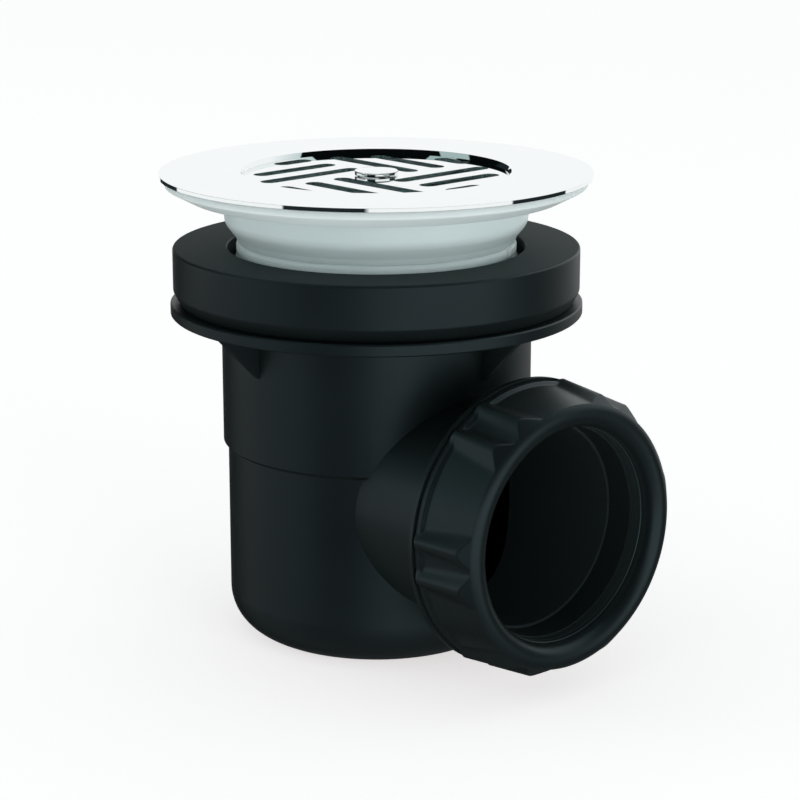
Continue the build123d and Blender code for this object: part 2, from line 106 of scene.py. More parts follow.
def turned_tree():
    """Rounds the corners of a profile and sweeps it round the Z axis."""
    tree, start, end = new_tree("Turned piece", [
        ("Profile", "Geometry"), ("Segments", "Int"), ("Corner Steps", "Int"),
        ("Material", "Material"),
    ])
    corner = add_node(tree, "GeometryNodeInputRadius")
    rounded = add_node(
        tree, "GeometryNodeFilletCurve",
        {
            "Curve": start.outputs["Profile"], "Radius": corner.outputs[0],
            "Count": start.outputs["Corner Steps"],
        },
        {"mode": "POLY"}, {"Limit Radius": True},
    )
    axis = add_node(
        tree, "GeometryNodeCurvePrimitiveCircle",
        {"Resolution": start.outputs["Segments"]}, values={"Radius": 1e-7},
    )
    swept = add_node(
        tree, "GeometryNodeCurveToMesh",
        {"Curve": axis.outputs[0], "Profile Curve": rounded.outputs[0]},
    )
    joined = add_node(
        tree, "GeometryNodeMergeByDistance",
        {"Geometry": swept.outputs[0]}, values={"Distance": 1e-6},
    )
    smooth = add_node(tree, "GeometryNodeSetShadeSmooth", {"Geometry": joined.outputs[0]})
    end_tree(tree, end, smooth.outputs[0], start.outputs["Material"])
    return tree


TURNED = turned_tree()
print(TURNED.name, "tree with", len(TURNED.nodes), "nodes")

# %% [markdown]
# A tree becomes a piece in three steps: it runs on a holder object, the mesh it makes is
# kept, and the normals are weighed by face area. The last step matters on plastic and
# chrome, where a flat face next to a small round would otherwise look bent. The signed
# volume is printed for every piece, because it is positive only when the normals of a closed
# mesh point outward.

# %% From tree to piece


def bake(holder, tree, values, name):
    """Runs a tree on a holder object, keeps the mesh it makes and drops the holder."""
    modifier = holder.modifiers.new("Nodes", "NODES")
    modifier.node_group = tree
    for socket in tree.interface.items_tree:
        if socket.in_out == "INPUT" and socket.name in values:
            modifier[socket.identifier] = values[socket.name]
    bpy.context.view_layer.update()
    graph = bpy.context.evaluated_depsgraph_get()
    mesh = bpy.data.meshes.new_from_object(holder.evaluated_get(graph))
    bpy.data.objects.remove(holder)
    piece = bpy.data.objects.new(name, mesh)
    mesh.name = name
    bpy.context.scene.collection.objects.link(piece)
    return piece


def weigh_normals(piece, angle=40):
    """Keeps flat faces flat next to small rounds, by weighing normals by face area."""
    piece.data.set_sharp_from_angle(angle=math.radians(angle))
    modifier = piece.modifiers.new("Normals", "WEIGHTED_NORMAL")
    modifier.keep_sharp = True
    bpy.context.view_layer.update()
    graph = bpy.context.evaluated_depsgraph_get()
    mesh = bpy.data.meshes.new_from_object(piece.evaluated_get(graph))
    piece.modifiers.clear()
    piece.data = mesh
    mesh.name = piece.name
    return piece


def volume_mm3(piece):
    """Signed volume, which is positive when the normals point out of a closed mesh."""
    mesh = piece.data
    mesh.calc_loop_triangles()
    points = np.array([v.co for v in mesh.vertices])
    corners = np.array([t.vertices for t in mesh.loop_triangles])
    a, b, c = points[corners[:, 0]], points[corners[:, 1]], points[corners[:, 2]]
    return float(np.einsum("ij,ij->i", a, np.cross(b, c)).sum() / 6 / MM**3)


def turn(name, profile, material, closed=True, segments=256, steps=5):
    """Turned piece from (radius, height, corner radius) rows in mm, anticlockwise."""
    curve = bpy.data.curves.new(name, "CURVE")
    curve.dimensions = "3D"
    spline = curve.splines.new("POLY")
    spline.points.add(len(profile) - 1)
    for point, (radius, height, corner) in zip(spline.points, reversed(profile)):
        point.co = (radius * MM, -height * MM, 0, 1)
        point.radius = corner * MM
    spline.use_cyclic_u = closed
    holder = bpy.data.objects.new(name, curve)
    bpy.context.scene.collection.objects.link(holder)
    values = {"Segments": segments, "Corner Steps": steps, "Material": material}
    piece = weigh_normals(bake(holder, TURNED, values, name))
    print(name, len(piece.data.polygons), "faces", round(volume_mm3(piece)), "mm3")
    return piece


print("body solid", round(volume_mm3(nodes["body"])), "mm3")

# %% [markdown]
# Finishes start from the same few nodes: a noise on object coordinates, so that the pattern
# stays put on its piece, a range that turns the noise into a value, a blend of two close
# colours and a fine bump. Real plating and moulded plastic are never one even tone, and
# these small changes are what tells the eye so.

# %% Material helpers


def material_base(name):
    """Node material with its surface shader and object coordinates."""
    material = bpy.data.materials.new(name)
    material.use_nodes = True
    tree = material.node_tree
    shader = tree.nodes["Principled BSDF"]
    place = tree.nodes.new("ShaderNodeTexCoord")
    return material, tree, shader, place.outputs["Object"]


def noise(tree, place, scale, detail=3.0):
    """Noise on object coordinates, scale in features per metre."""
    values = {"Scale": scale, "Detail": detail}
    return add_node(tree, "ShaderNodeTexNoise", {"Vector": place}, values=values).outputs["Fac"]


def remap(tree, value, low, high, start=0.3, stop=0.7):
    """Stretches a value from the range start to stop to the range low to high."""
    values = {"From Min": start, "From Max": stop, "To Min": low, "To Max": high}
    return add_node(tree, "ShaderNodeMapRange", {"Value": value}, values=values).outputs[0]


def mix(tree, factor, first, second, blend="MIX"):
    """Mix of two colours; factor and colours are each a socket or a constant."""
    node = add_node(tree, "ShaderNodeMix", settings={"data_type": "RGBA", "blend_type": blend})
    for slot, value in ((0, factor), (6, first), (7, second)):
        if isinstance(value, bpy.types.NodeSocket):
            tree.links.new(value, node.inputs[slot])
        else:
            node.inputs[slot].default_value = value
    return node.outputs[2]


def bump(tree, shader, height, distance, strength):
    """Fine relief on the surface, distance in metres."""
    values = {"Distance": distance, "Strength": strength}
    node = add_node(tree, "ShaderNodeBump", {"Height": height}, values=values)
    tree.links.new(node.outputs[0], shader.inputs["Normal"])


print("material helpers", [helper.__name__ for helper in (noise, remap, mix, bump)])

# %% [markdown]
# Chrome is a polished metal whose gloss varies a little over the surface. The plastics are
# moulded, so they have a fine grain, a slow change of gloss and, on the black ones, almost
# no colour of their own: what shows is the light on their surface, which is slightly cool.

# %% Chrome and plastics


def chrome_finish():
    """Polished plating with faint clouds in its gloss."""
    material, tree, shader, place = material_base("chrome")
    clouds = noise(tree, place, 90)
    shader.inputs["Metallic"].default_value = 1.0
    tint = mix(tree, clouds, (0.84, 0.88, 0.885, 1), (0.87, 0.905, 0.91, 1))
    tree.links.new(tint, shader.inputs["Base Color"])
    tree.links.new(remap(tree, clouds, 0.012, 0.03), shader.inputs["Roughness"])
    return material


def plastic_finish(name, light, dark, gloss, tint, grain, relief):
    """Moulded plastic: two close tones, a slow change of gloss and a fine grain."""
    material, tree, shader, place = material_base(name)
    slow = noise(tree, place, 60)
    fine = noise(tree, place, grain, 2.0)
    tree.links.new(mix(tree, slow, (*dark, 1), (*light, 1)), shader.inputs["Base Color"])
    tree.links.new(remap(tree, slow, gloss - 0.04, gloss + 0.04), shader.inputs["Roughness"])
    shader.inputs["IOR"].default_value = 1.49
    shader.inputs["Specular Tint"].default_value = (*tint, 1)
    bump(tree, shader, fine, relief, 0.35)
    return material


COOL = (0.66, 0.93, 1.0)
NEUTRAL = (1, 1, 1)
JET = (0.0062, 0.0090, 0.0096)
JET_DARK = (0.0052, 0.0078, 0.0084)
CHROME = chrome_finish()
WHITE = plastic_finish(
    "white_plastic", (0.765, 0.86, 0.858), (0.735, 0.832, 0.83), 0.32, NEUTRAL, 1800, 4e-6,
)
BLACK = plastic_finish("black_plastic", JET, JET_DARK, 0.42, COOL, 2600, 6e-6)
GASKET = plastic_finish(
    "gasket_rubber", (0.006, 0.0086, 0.0092), (0.005, 0.0072, 0.0078), 0.45, COOL, 1500, 9e-6,
)
NUT = plastic_finish("nut_plastic", JET, JET_DARK, 0.38, COOL, 2600, 6e-6)
RUBBER = plastic_finish(
    "seal_rubber", (0.012, 0.016, 0.017), (0.009, 0.012, 0.013), 0.60, COOL, 1200, 1e-5,
)
print("finishes", [m.name for m in (CHROME, WHITE, BLACK, GASKET, NUT, RUBBER)])

# %% [markdown]
# Three changes go on top of these finishes. The gasket's sealing faces, which look up and
# down, are matt. White plastic lets a little light in, which softens its shadows. The inside
# of the outlet is painted a shade lighter. This is painted light, standing in for the light
# that reaches into the bore. The first and the last sit between the shader's socket and what
# fed it, so the slow change of tone and gloss stays.

# %% Changes on top of the finishes


def feed_through(tree, socket, node_input, node_output):
    """Puts a node between a socket and whatever fed it."""
    tree.links.new(socket.links[0].from_socket, node_input)
    tree.links.new(node_output, socket)


def matt_faces(material, gloss):
    """Makes the faces that look up or down matt, as sealing faces are."""
    tree = material.node_tree
    normal = add_node(tree, "ShaderNodeNewGeometry").outputs["True Normal"]
    parts = add_node(tree, "ShaderNodeSeparateXYZ", {"Vector": normal})
    level = add_node(tree, "ShaderNodeMath", {0: parts.outputs["Z"]}, {"operation": "ABSOLUTE"})
    share = remap(tree, level.outputs[0], 0.0, 1.0, 0.75, 0.95)
    blend = add_node(tree, "ShaderNodeMix", {0: share}, values={3: gloss})
    roughness = tree.nodes["Principled BSDF"].inputs["Roughness"]
    feed_through(tree, roughness, blend.inputs[2], blend.outputs[0])


def paint_bore_light(material, centre, radius, tone):
    """Paints the inside of a bore along X, beyond its centre, a shade lighter, as painted light.
    """
    tree = material.node_tree
    place = tree.nodes["Texture Coordinate"].outputs["Object"]
    shift = add_node(
        tree, "ShaderNodeVectorMath", {0: place}, {"operation": "SUBTRACT"}, {1: centre},
    )
    flat = add_node(
        tree, "ShaderNodeVectorMath", {0: shift.outputs[0]}, {"operation": "MULTIPLY"},
        {1: (0, 1, 1)},
    )
    reach = add_node(tree, "ShaderNodeVectorMath", {0: flat.outputs[0]}, {"operation": "LENGTH"})
    inside = remap(tree, reach.outputs["Value"], 1.0, 0.0, radius, radius + 0.0003)
    along = add_node(tree, "ShaderNodeSeparateXYZ", {"Vector": shift.outputs[0]})
    beyond = remap(tree, along.outputs["X"], 0.0, 1.0, 0.0, 0.002)
    both = add_node(tree, "ShaderNodeMath", {0: inside, 1: beyond}, {"operation": "MULTIPLY"})
    blend = add_node(
        tree, "ShaderNodeMix", {0: both.outputs[0]}, {"data_type": "RGBA"}, {7: (*tone, 1)},
    )
    colour = tree.nodes["Principled BSDF"].inputs["Base Color"]
    feed_through(tree, colour, blend.inputs[6], blend.outputs[2])


matt_faces(GASKET, 0.72)
white = WHITE.node_tree.nodes["Principled BSDF"].inputs
white["Subsurface Weight"].default_value = 0.8
white["Subsurface Radius"].default_value = (1, 1, 1)
white["Subsurface Scale"].default_value = 0.003
outlet_z = 32.0
bore_start = (0.004, 0, outlet_z * MM)
bore_radius = 0.0206
bore_painted_light = (0.020, 0.027, 0.029)
# Painted light: a lighter base colour inside the outlet stands in for the light that reaches
# into the bore.
for finish in (BLACK, NUT):
    paint_bore_light(finish, bore_start, bore_radius, bore_painted_light)
print("bore greyer from", bore_start, "within", bore_radius)

# %% [markdown]
# Chrome cover and grid. The cover is pressed from thin sheet and turned down at its inner
# edge, so its edges are slightly round and show the studio as thin bright and dark dashes.
# It is turned again here with those rounds, and its recess wall leans inward, which the
# mirror images on it show. The slotted grid needs nothing but its plating.

# %% Cover and grid


def dress(node, material):
    """Puts a finish on a CAD node that keeps its own shape."""
    slots = nodes[node].data.materials
    slots.clear()
    slots.append(material)


low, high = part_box("cover_plate")
cover_radius = high.x / MM
cover_top = high.z / MM
cover_foot = low.z / MM
sheet = 0.75
recess_radius = 26.5
grid_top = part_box("grid")[1].z / MM
wall_foot = grid_top + 0.01
wall_lean = 0.46
cover = turn("chrome_cover", [
    (recess_radius, cover_foot, 0.1),
    (recess_radius + sheet, cover_foot, 0.1),
    (recess_radius + sheet, cover_top - sheet, 0.3),
    (cover_radius, cover_top - sheet, 0.04),
    (cover_radius, cover_top, 0.04),
    (recess_radius, cover_top, 0.05),
    (recess_radius - wall_lean, wall_foot, 0),
    (recess_radius, wall_foot, 0),
], CHROME, segments=360)
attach(cover, "trap")
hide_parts("cover_plate")
dress("grid", CHROME)

# %% [markdown]
# Knob. It is riveted through the grid's centre and is lifted to take the grid out. Its top
# is a shallow lens, drawn as a few points of a parabola, on an upright rim and a thinner neck.

# %% Knob
low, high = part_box("grid_knob")
knob_radius = high.x / MM
knob_top = high.z / MM
knob_foot = low.z / MM
grid_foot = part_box("grid")[0].z / MM
rivet_radius, rivet_shaft = 3.2, 1.9
knob_neck_radius = 3.7
knob_neck_top = grid_top + 0.15
crown = 0.1
crown_steps = 8
lens = []
for step in range(crown_steps):
    share = 1 - step / crown_steps
    lens.append((knob_radius * share, knob_top - crown * share**2, 0.07 if step == 0 else 0))
lens.append((0, knob_top, 0))
knob = turn("grid_knob_turned", [
    (0, knob_foot, 0),
    (rivet_radius, knob_foot, 0.3),
    (rivet_radius, grid_foot, 0.1),
    (rivet_shaft, grid_foot, 0),
    (rivet_shaft, grid_top, 0),
    (knob_neck_radius, grid_top, 0.02),
    (knob_neck_radius, knob_neck_top, 0.02),
    (knob_radius, knob_neck_top, 0.03),
] + lens, CHROME, closed=False, segments=128)
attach(knob, "trap")
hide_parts("grid_knob")

# %% [markdown]
# White flange. One moulding: a rounded rim under the cover, a sloped seat that presses on
# the tray, a collar that fills the tray's hole, a tapered neck, a low ring under a fine
# groove, and a threaded tail. Turning it again gives the moulded rounds and the soft foot
# of the collar.

# %% White flange
low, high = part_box("upper_flange")
rim_radius = high.x / MM
rim_top = high.z / MM
rim_band = 1.5
tail_foot = low.z / MM
tail_radius = 27.75
tail_lip_radius, tail_lip_height = 23.5, 2.1
ring_radius = tail_radius - 0.15
waist = tail_radius - 0.4
groove_radius = waist - 0.3
ring_foot, ring_top = 77.4, 79.8
neck_top, collar_foot, tray_seat = 81.1, 83.8, 89.1
collar_radius = 29.9
seat_width = 7.5
flange_bore = 25.0
cover_pocket = 27.4
flange = turn("white_flange", [
    (tail_lip_radius, tail_foot, 0.3),
    (tail_radius, tail_foot, 0.5),
    (tail_radius, ring_foot - 0.5, 0.1),
    (waist, ring_foot, 0.1),
    (ring_radius, ring_foot + 0.7, 0.3),
    (ring_radius, ring_top - 0.6, 0.4),
    (waist, ring_top, 0.04),
    (groove_radius, ring_top + 0.04, 0),
    (groove_radius, ring_top + 0.16, 0),
    (waist, ring_top + 0.2, 0.03),
    (tail_radius, neck_top, 0.08),
    (collar_radius, collar_foot, 3.0),
    (collar_radius, tray_seat, 0.3),
    (collar_radius + seat_width, tray_seat, 0.5),
    (rim_radius, rim_top - rim_band, 0.5),
    (rim_radius, rim_top, 0.2),
    (cover_pocket, rim_top, 0.1),
    (cover_pocket, cover_foot, 0.1),
    (flange_bore, cover_foot, 0.2),
    (flange_bore, tail_foot + tail_lip_height, 0.1),
    (tail_lip_radius, tail_foot + tail_lip_height, 0.2),
], WHITE, segments=300)
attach(flange, "trap")
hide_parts("upper_flange")

# %% [markdown]
# Threads. The solids leave them plain with room for the ridge. A thread is a ridge swept
# along a helix, so a second tree makes all of them: a spiral, a rounded ridge section held
# upright along it, and a size that grows from nothing at both ends, as a moulded thread does.

# %% Thread tree


def maths(tree, operation, first, second):
    """Maths node on two numbers, each a socket or a constant."""
    links, values = {}, {}
    for slot, value in ((0, first), (1, second)):
        target = links if isinstance(value, bpy.types.NodeSocket) else values
        target[slot] = value
    return add_node(tree, "ShaderNodeMath", links, {"operation": operation}, values).outputs[0]


def thread_tree():
    """Ridge swept along a right-handed helix, tapered at both ends, then put in place."""
    tree, start, end = new_tree("Thread", [
        ("Radius", "Float"), ("Pitch", "Float"), ("Turns", "Float"), ("Height", "Float"),
        ("Root Width", "Float"), ("Crest Width", "Float"), ("Facing", "Float"),
        ("Run Out", "Float"), ("Steps", "Int"), ("Place", "Vector"), ("Axis Turn", "Rotation"),
        ("Material", "Material"),
    ])
    given = start.outputs
    helix = add_node(tree, "GeometryNodeCurveSpiral", {
        "Resolution": given["Steps"], "Rotations": given["Turns"],
        "Start Radius": given["Radius"], "End Radius": given["Radius"],
        "Height": maths(tree, "MULTIPLY", given["Pitch"], given["Turns"]),
    })
    upright = add_node(
        tree, "GeometryNodeSetCurveNormal", {"Curve": helix.outputs[0]}, {"mode": "Z_UP"},
    )
    section = add_node(tree, "GeometryNodeCurvePrimitiveQuadrilateral", {
        "Bottom Width": given["Root Width"], "Top Width": given["Crest Width"],
        "Height": given["Height"],
    }, {"mode": "TRAPEZOID"}, {"Offset": 0.0})
    round_size = maths(tree, "MULTIPLY", given["Height"], 0.3)
    rounded = add_node(
        tree, "GeometryNodeFilletCurve", {"Curve": section.outputs[0], "Radius": round_size},
        {"mode": "POLY"}, {"Count": 3, "Limit Radius": True},
    )
    quarter = maths(tree, "MULTIPLY", given["Facing"], -math.pi / 2)
    angles = add_node(tree, "ShaderNodeCombineXYZ", {"Z": quarter})
    facing = add_node(
        tree, "GeometryNodeTransform",
        {"Geometry": rounded.outputs[0], "Rotation": angles.outputs[0]},
    )
    along = add_node(tree, "GeometryNodeSplineParameter").outputs["Factor"]
    nearest = maths(tree, "MINIMUM", along, maths(tree, "SUBTRACT", 1.0, along))
    grown = add_node(
        tree, "ShaderNodeMapRange", {"Value": nearest, "From Max": given["Run Out"]},
        {"interpolation_type": "SMOOTHSTEP"}, {"From Min": 0.0, "To Min": 0.05, "To Max": 1.0},
    )
    swept = add_node(
        tree, "GeometryNodeCurveToMesh",
        {
            "Curve": upright.outputs[0], "Profile Curve": facing.outputs[0],
            "Scale": grown.outputs[0],
        },
        values={"Fill Caps": True},
    )
    smooth = add_node(tree, "GeometryNodeSetShadeSmooth", {"Geometry": swept.outputs[0]})
    placed = add_node(tree, "GeometryNodeTransform", {
        "Geometry": smooth.outputs[0], "Translation": given["Place"],
        "Rotation": given["Axis Turn"],
    })
    end_tree(tree, end, placed.outputs[0], given["Material"])
    return tree


THREAD = thread_tree()
print(THREAD.name, "tree with", len(THREAD.nodes), "nodes")

# %% [markdown]
# The tail's thread draws the flange down into the body. The small stop at the end of the
# flange's ring is the same ridge, cut to a few millimetres. Steps are points per full turn,
# so the short stop needs many.

# %% Tail thread and stop


def thread(name, material, **values):
    """Thread ridge as its own piece; lengths in mm, turned and placed as given."""
    sizes = {}
    for label in ("Radius", "Pitch", "Height", "Root Width", "Crest Width"):
        sizes[label] = values[label] * MM
    sizes["Place"] = [v * MM for v in values["Place"]]
    for label in ("Turns", "Facing", "Run Out", "Steps", "Axis Turn"):
        sizes[label] = values[label]
    sizes["Material"] = material
    holder = bpy.data.objects.new(name, bpy.data.meshes.new(name))
    bpy.context.scene.collection.objects.link(holder)
    piece = weigh_normals(bake(holder, THREAD, sizes, name), 60)
    print(name, len(piece.data.polygons), "faces", round(volume_mm3(piece), 1), "mm3")
    return piece


tail_thread_foot = 63.0
stop_drop = 1.0
stop_angle = math.radians(33)
tail_thread = thread("tail_thread", WHITE, **{
    "Radius": tail_radius, "Pitch": 3.5, "Turns": 3.7,
    "Height": 1.0, "Root Width": 2.4, "Crest Width": 1.2,
    "Facing": 1.0, "Run Out": 0.03, "Steps": 90,
    "Place": (0, 0, tail_thread_foot), "Axis Turn": (0, 0, 0),
})
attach(tail_thread, "trap")
tail_stop = thread("tail_stop", WHITE, **{
    "Radius": waist + 0.1, "Pitch": 0.6, "Turns": 0.018,
    "Height": 1.0, "Root Width": 2.0, "Crest Width": 1.4,
    "Facing": 1.0, "Run Out": 0.15, "Steps": 700,
    "Place": (0, 0, ring_top - stop_drop), "Axis Turn": (0, 0, stop_angle),
})
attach(tail_stop, "trap")

# %% [markdown]
# Gasket: a thick rubber ring under the tray, with soft edges and a wide bevel where it
# meets the body. It is turned again so that both edges are round, as rubber is moulded.

# %% Gasket
low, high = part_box("tray_gasket")
gasket_radius = high.x / MM
gasket_top = high.z / MM
gasket_foot = low.z / MM
gasket_hole = 29.4
bevel_width, bevel_height = 1.4, 2.5
gasket = turn("tray_gasket_turned", [
    (gasket_hole, gasket_foot, 0.2),
    (gasket_radius - bevel_width, gasket_foot, 0.3),
    (gasket_radius, gasket_foot + bevel_height, 1.0),
    (gasket_radius, gasket_top, 0.55),
    (gasket_hole, gasket_top, 0.35),
], GASKET, segments=300)
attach(gasket, "trap")
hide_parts("tray_gasket")

# %% [markdown]
# Body and outlet. The moulding and the loose inner pieces keep their solids, which have
# their edges and rounds already, and take their finishes. The spigot and the nut get the two
# halves of their thread, half a pitch apart, so one shows when the nut is undone.

# %% Body, outlet threads and inner pieces
for node, material in (
    ("body", BLACK), ("slip_ring", BLACK), ("dip_tube", BLACK), ("trap_cup", BLACK),
    ("outlet_seal", RUBBER), ("dip_tube_seal", RUBBER),
):
    dress(node, material)

spigot_radius = 22.7
nut_bore = 23.4
outlet_pitch = 2.309
thread_start = 43.7
outlet_ridge = {
    "Pitch": outlet_pitch, "Turns": 2.4, "Height": 1.0, "Root Width": 1.2, "Crest Width": 0.55,
    "Run Out": 0.05, "Steps": 90, "Axis Turn": (0, math.pi / 2, 0),
}
spigot_thread = thread("spigot_thread", BLACK, **outlet_ridge, **{
    "Radius": spigot_radius, "Facing": 1.0, "Place": (thread_start, 0, outlet_z),
})
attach(spigot_thread, "trap")
nut_thread = thread("nut_thread", NUT, **outlet_ridge, **{
    "Radius": nut_bore, "Facing": -1.0, "Place": (thread_start + outlet_pitch / 2, 0, outlet_z),
})
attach(nut_thread, "nut")

# %% [markdown]
# Hand nut. On the real one the ridges run out softly into the drum, and the mouth is one fat
# round. A bevel on the solid's triangles would tear, so the nut is measured instead: rays
# towards the outlet's axis read the solid's radius on a regular net, the net is smoothed
# around and along the nut, and the round mouth is drawn in front of it. The collar at the
# back keeps its crisp edges, so its rows lie close on both sides of them.

# %% Net of the hand nut
NET_STEPS = 600
RAY_REACH = 0.04
nut_solid = nodes["outlet_nut"].data
nut_solid.calc_loop_triangles()
skin = BVHTree.FromPolygons(
    [v.co for v in nut_solid.vertices], [t.vertices for t in nut_solid.loop_triangles],
)
turns = np.arange(NET_STEPS) * 2 * np.pi / NET_STEPS


def radius_at(along, angle, outside=True):
    """Radius of the nut's solid in mm, seen from outside or from the outlet's axis."""
    out = Vector((0, math.cos(angle), math.sin(angle)))
    axis = Vector((along * MM, 0, outlet_z * MM))
    start, way = (axis + out * RAY_REACH, -out) if outside else (axis, out)
    return (skin.ray_cast(start, way)[0] - axis).length / MM


def smooth_rows(net, spread, axis):
    """Gaussian mean along one axis of the net; around the nut it wraps, along it it stops."""
    reach = int(3 * spread) + 1
    steps = np.arange(-reach, reach + 1)
    weights = np.exp(-0.5 * (steps / spread) ** 2)
    pads = [(0, 0), (0, 0)]
    pads[axis] = (reach, reach)
    wide = np.pad(net, pads, mode="wrap" if axis == 1 else "edge")
    count = net.shape[axis]
    total = 0
    for step, weight in zip(steps, weights):
        window = range(step + reach, step + reach + count)
        total = total + weight * np.take(wide, window, axis=axis)
    return total / weights.sum()


nut_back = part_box("outlet_nut")[0].x / MM
nut_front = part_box("outlet_nut")[1].x / MM
collar_rows = nut_back + np.array([0.005, 0.9, 0.902, 1.148, 1.152, 1.25])
grip_rows = np.arange(nut_back + 1.35, nut_front - 3.8, 0.15)
collar = np.array([[radius_at(along, angle) for angle in turns] for along in collar_rows])
grip = np.array([[radius_at(along, angle) for angle in turns] for along in grip_rows])
grip = smooth_rows(smooth_rows(grip, 1.5, 1), 1.3, 0)
print("nut net", grip.shape, "radius", grip.min().round(2), "to", grip.max().round(2))

# %% [markdown]
# The grip's last rows are carried on in a straight line to the slope in front of them, which
# cuts the ridges' ends, and the mouth's round joins on. Inside, the nut has a narrow land
# round the pipe, the pocket of the slip ring and the thread's bore.

# %% Front and inside of the nut
mouth_round = 2.7
mouth_centre = nut_front - mouth_round
lean = math.sqrt(0.5) * mouth_round
slope_sum = mouth_centre + nut_bore + 2 * lean
swell, swell_start = 0.025, nut_back + 2.6
taper_rows = 20
edge_blend = 0.04
grip += swell * np.clip(grip_rows - swell_start, 0, None)[:, None]
behind = -1 - taper_rows
taper = (grip[-1] - grip[behind]) / (grip_rows[-1] - grip_rows[behind])
front_rows = np.arange(grip_rows[-1] + 0.12, mouth_centre + lean, 0.12)
front = np.array([grip[-1] + taper * (along - grip_rows[-1]) for along in front_rows])
gap = front - (slope_sum - front_rows)[:, None]
front = front - 0.5 * (gap + np.sqrt(gap**2 + edge_blend**2))

seat = nut_front - 4.15
land_radius, land_length = 20.57, 0.88
pocket = radius_at(nut_front - 5.0, 0, outside=False)
pocket_length, pocket_cone = 1.55, 3.2
turned = [
    (mouth_centre + mouth_round * math.cos(a), nut_bore + mouth_round * math.sin(a))
    for a in np.radians(np.arange(45, -101, -5))
]
turned += [
    (seat + land_length, land_radius), (seat, land_radius), (seat, pocket),
    (seat - pocket_length, pocket), (seat - pocket_cone, nut_bore), (nut_back, nut_bore),
]
print("front rows", len(front_rows), "turned rows", len(turned), "pocket", round(pocket, 2))

# %% [markdown]
# All rows together close into one skin: each row is a ring of points round the outlet's
# axis, each pair of rows is joined by quads, and the last row joins the first. If the
# volume comes out negative, the faces look inward and are flipped.

# %% Hand nut
rows = list(zip(collar_rows, collar)) + list(zip(grip_rows, grip)) + list(zip(front_rows, front))
rows += [(along, np.full(NET_STEPS, out)) for along, out in turned]
points = []
for along, net in rows:
    points += [
        (along * MM, r * math.cos(t) * MM, (outlet_z + r * math.sin(t)) * MM)
        for r, t in zip(net, turns)
    ]
faces = []
for row in range(len(rows)):
    here, there = row * NET_STEPS, (row + 1) % len(rows) * NET_STEPS
    for step in range(NET_STEPS):
        beside = (step + 1) % NET_STEPS
        faces.append((here + step, here + beside, there + beside, there + step))
nut_mesh = bpy.data.meshes.new("hand_nut")
nut_mesh.from_pydata(points, [], faces)
nut_mesh.materials.append(NUT)
nut_mesh.polygons.foreach_set("use_smooth", [True] * len(faces))
hand_nut = bpy.data.objects.new("hand_nut", nut_mesh)
bpy.context.scene.collection.objects.link(hand_nut)
if volume_mm3(hand_nut) < 0:
    nut_mesh.flip_normals()
weigh_normals(hand_nut, 32)
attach(hand_nut, "nut")
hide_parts("outlet_nut")
print("hand_nut", len(faces), "faces", round(volume_mm3(hand_nut)), "mm3")

# %% [markdown]
# Floor. It is plain and pale and keeps the object's shadow. A glow of its own makes it white
# in the picture. The glow is the same for every ray, so it also lights the object a little
# from below; Is Camera Ray could keep it to the picture alone. Reflections leave the floor
# out, because the studio below draws what polished faces see.

# %% Floor
half = 6.0
floor_glow = 0.66
floor_mesh = bpy.data.meshes.new("floor")
floor_mesh.from_pydata(
    [(-half, -half, 0), (half, -half, 0), (half, half, 0), (-half, half, 0)], [], [(0, 1, 2, 3)],
)
floor = bpy.data.objects.new("floor", floor_mesh)
bpy.context.scene.collection.objects.link(floor)
floor.visible_glossy = False
floor_paint = bpy.data.materials.new("floor_paint")
floor_paint.use_nodes = True
tree = floor_paint.node_tree
tree.nodes.remove(tree.nodes["Principled BSDF"])
paint = add_node(tree, "ShaderNodeBsdfDiffuse", values={"Color": (0.86, 0.86, 0.86, 1)})
glow = add_node(
    tree, "ShaderNodeEmission", values={"Strength": floor_glow, "Color": (1.0, 0.96, 0.96, 1)},
)
both = add_node(tree, "ShaderNodeAddShader", {0: paint.outputs[0], 1: glow.outputs[0]})
tree.links.new(both.outputs[0], tree.nodes["Material Output"].inputs["Surface"])
floor_mesh.materials.append(floor_paint)
print("floor", half * 2, "m")

# %% [markdown]
# Studio. The object stands in a white band of light with a dark floor and a dark ceiling,
# as between tall white screens. Directions are given as an azimuth from the camera's side,
# in degrees, and as a height. The world's nodes measure both from the direction of the ray,
# and colour ramps then paint the studio by azimuth or by height.

# %% Directions of the studio
toward_camera = Vector((0.7655, -0.6434, 0))
camera_right = Vector((0.6434, 0.7655, 0))


def ramp(tree, value, stops):
    """Colour ramp over a value from 0 to 1."""
    node = add_node(tree, "ShaderNodeValToRGB", {"Fac": value})
    band = node.color_ramp
    while len(band.elements) > 1:
        band.elements.remove(band.elements[-1])
    for number, (position, colour) in enumerate(stops):
        element = band.elements[0] if number == 0 else band.elements.new(position)
        element.position = position
        element.color = (*colour, 1)
    return node.outputs["Color"]


def ramp_round(tree, around, stops):
    """Colour ramp by azimuth, with stops in degrees."""
    return ramp(tree, around, [((azimuth + 180) / 360, colour) for azimuth, colour in stops])


world = bpy.data.worlds.new("studio")
bpy.context.scene.world = world
world.use_nodes = True
world.cycles.sampling_method = "NONE"
tree = world.node_tree
look = add_node(tree, "ShaderNodeTexCoord").outputs["Generated"]
facing = {}
for label, axis in (
    ("front", toward_camera), ("right", camera_right), ("up", Vector((0, 0, 1))),
):
    dot = add_node(
        tree, "ShaderNodeVectorMath", {0: look}, {"operation": "DOT_PRODUCT"}, {1: axis},
    )
    facing[label] = dot.outputs["Value"]
angle = maths(tree, "ARCTAN2", facing["right"], facing["front"])
around = remap(tree, angle, 0.0, 1.0, -math.pi, math.pi)
height = remap(tree, facing["up"], 0.0, 1.0, -1.0, 1.0)
print("directions", sorted(facing))

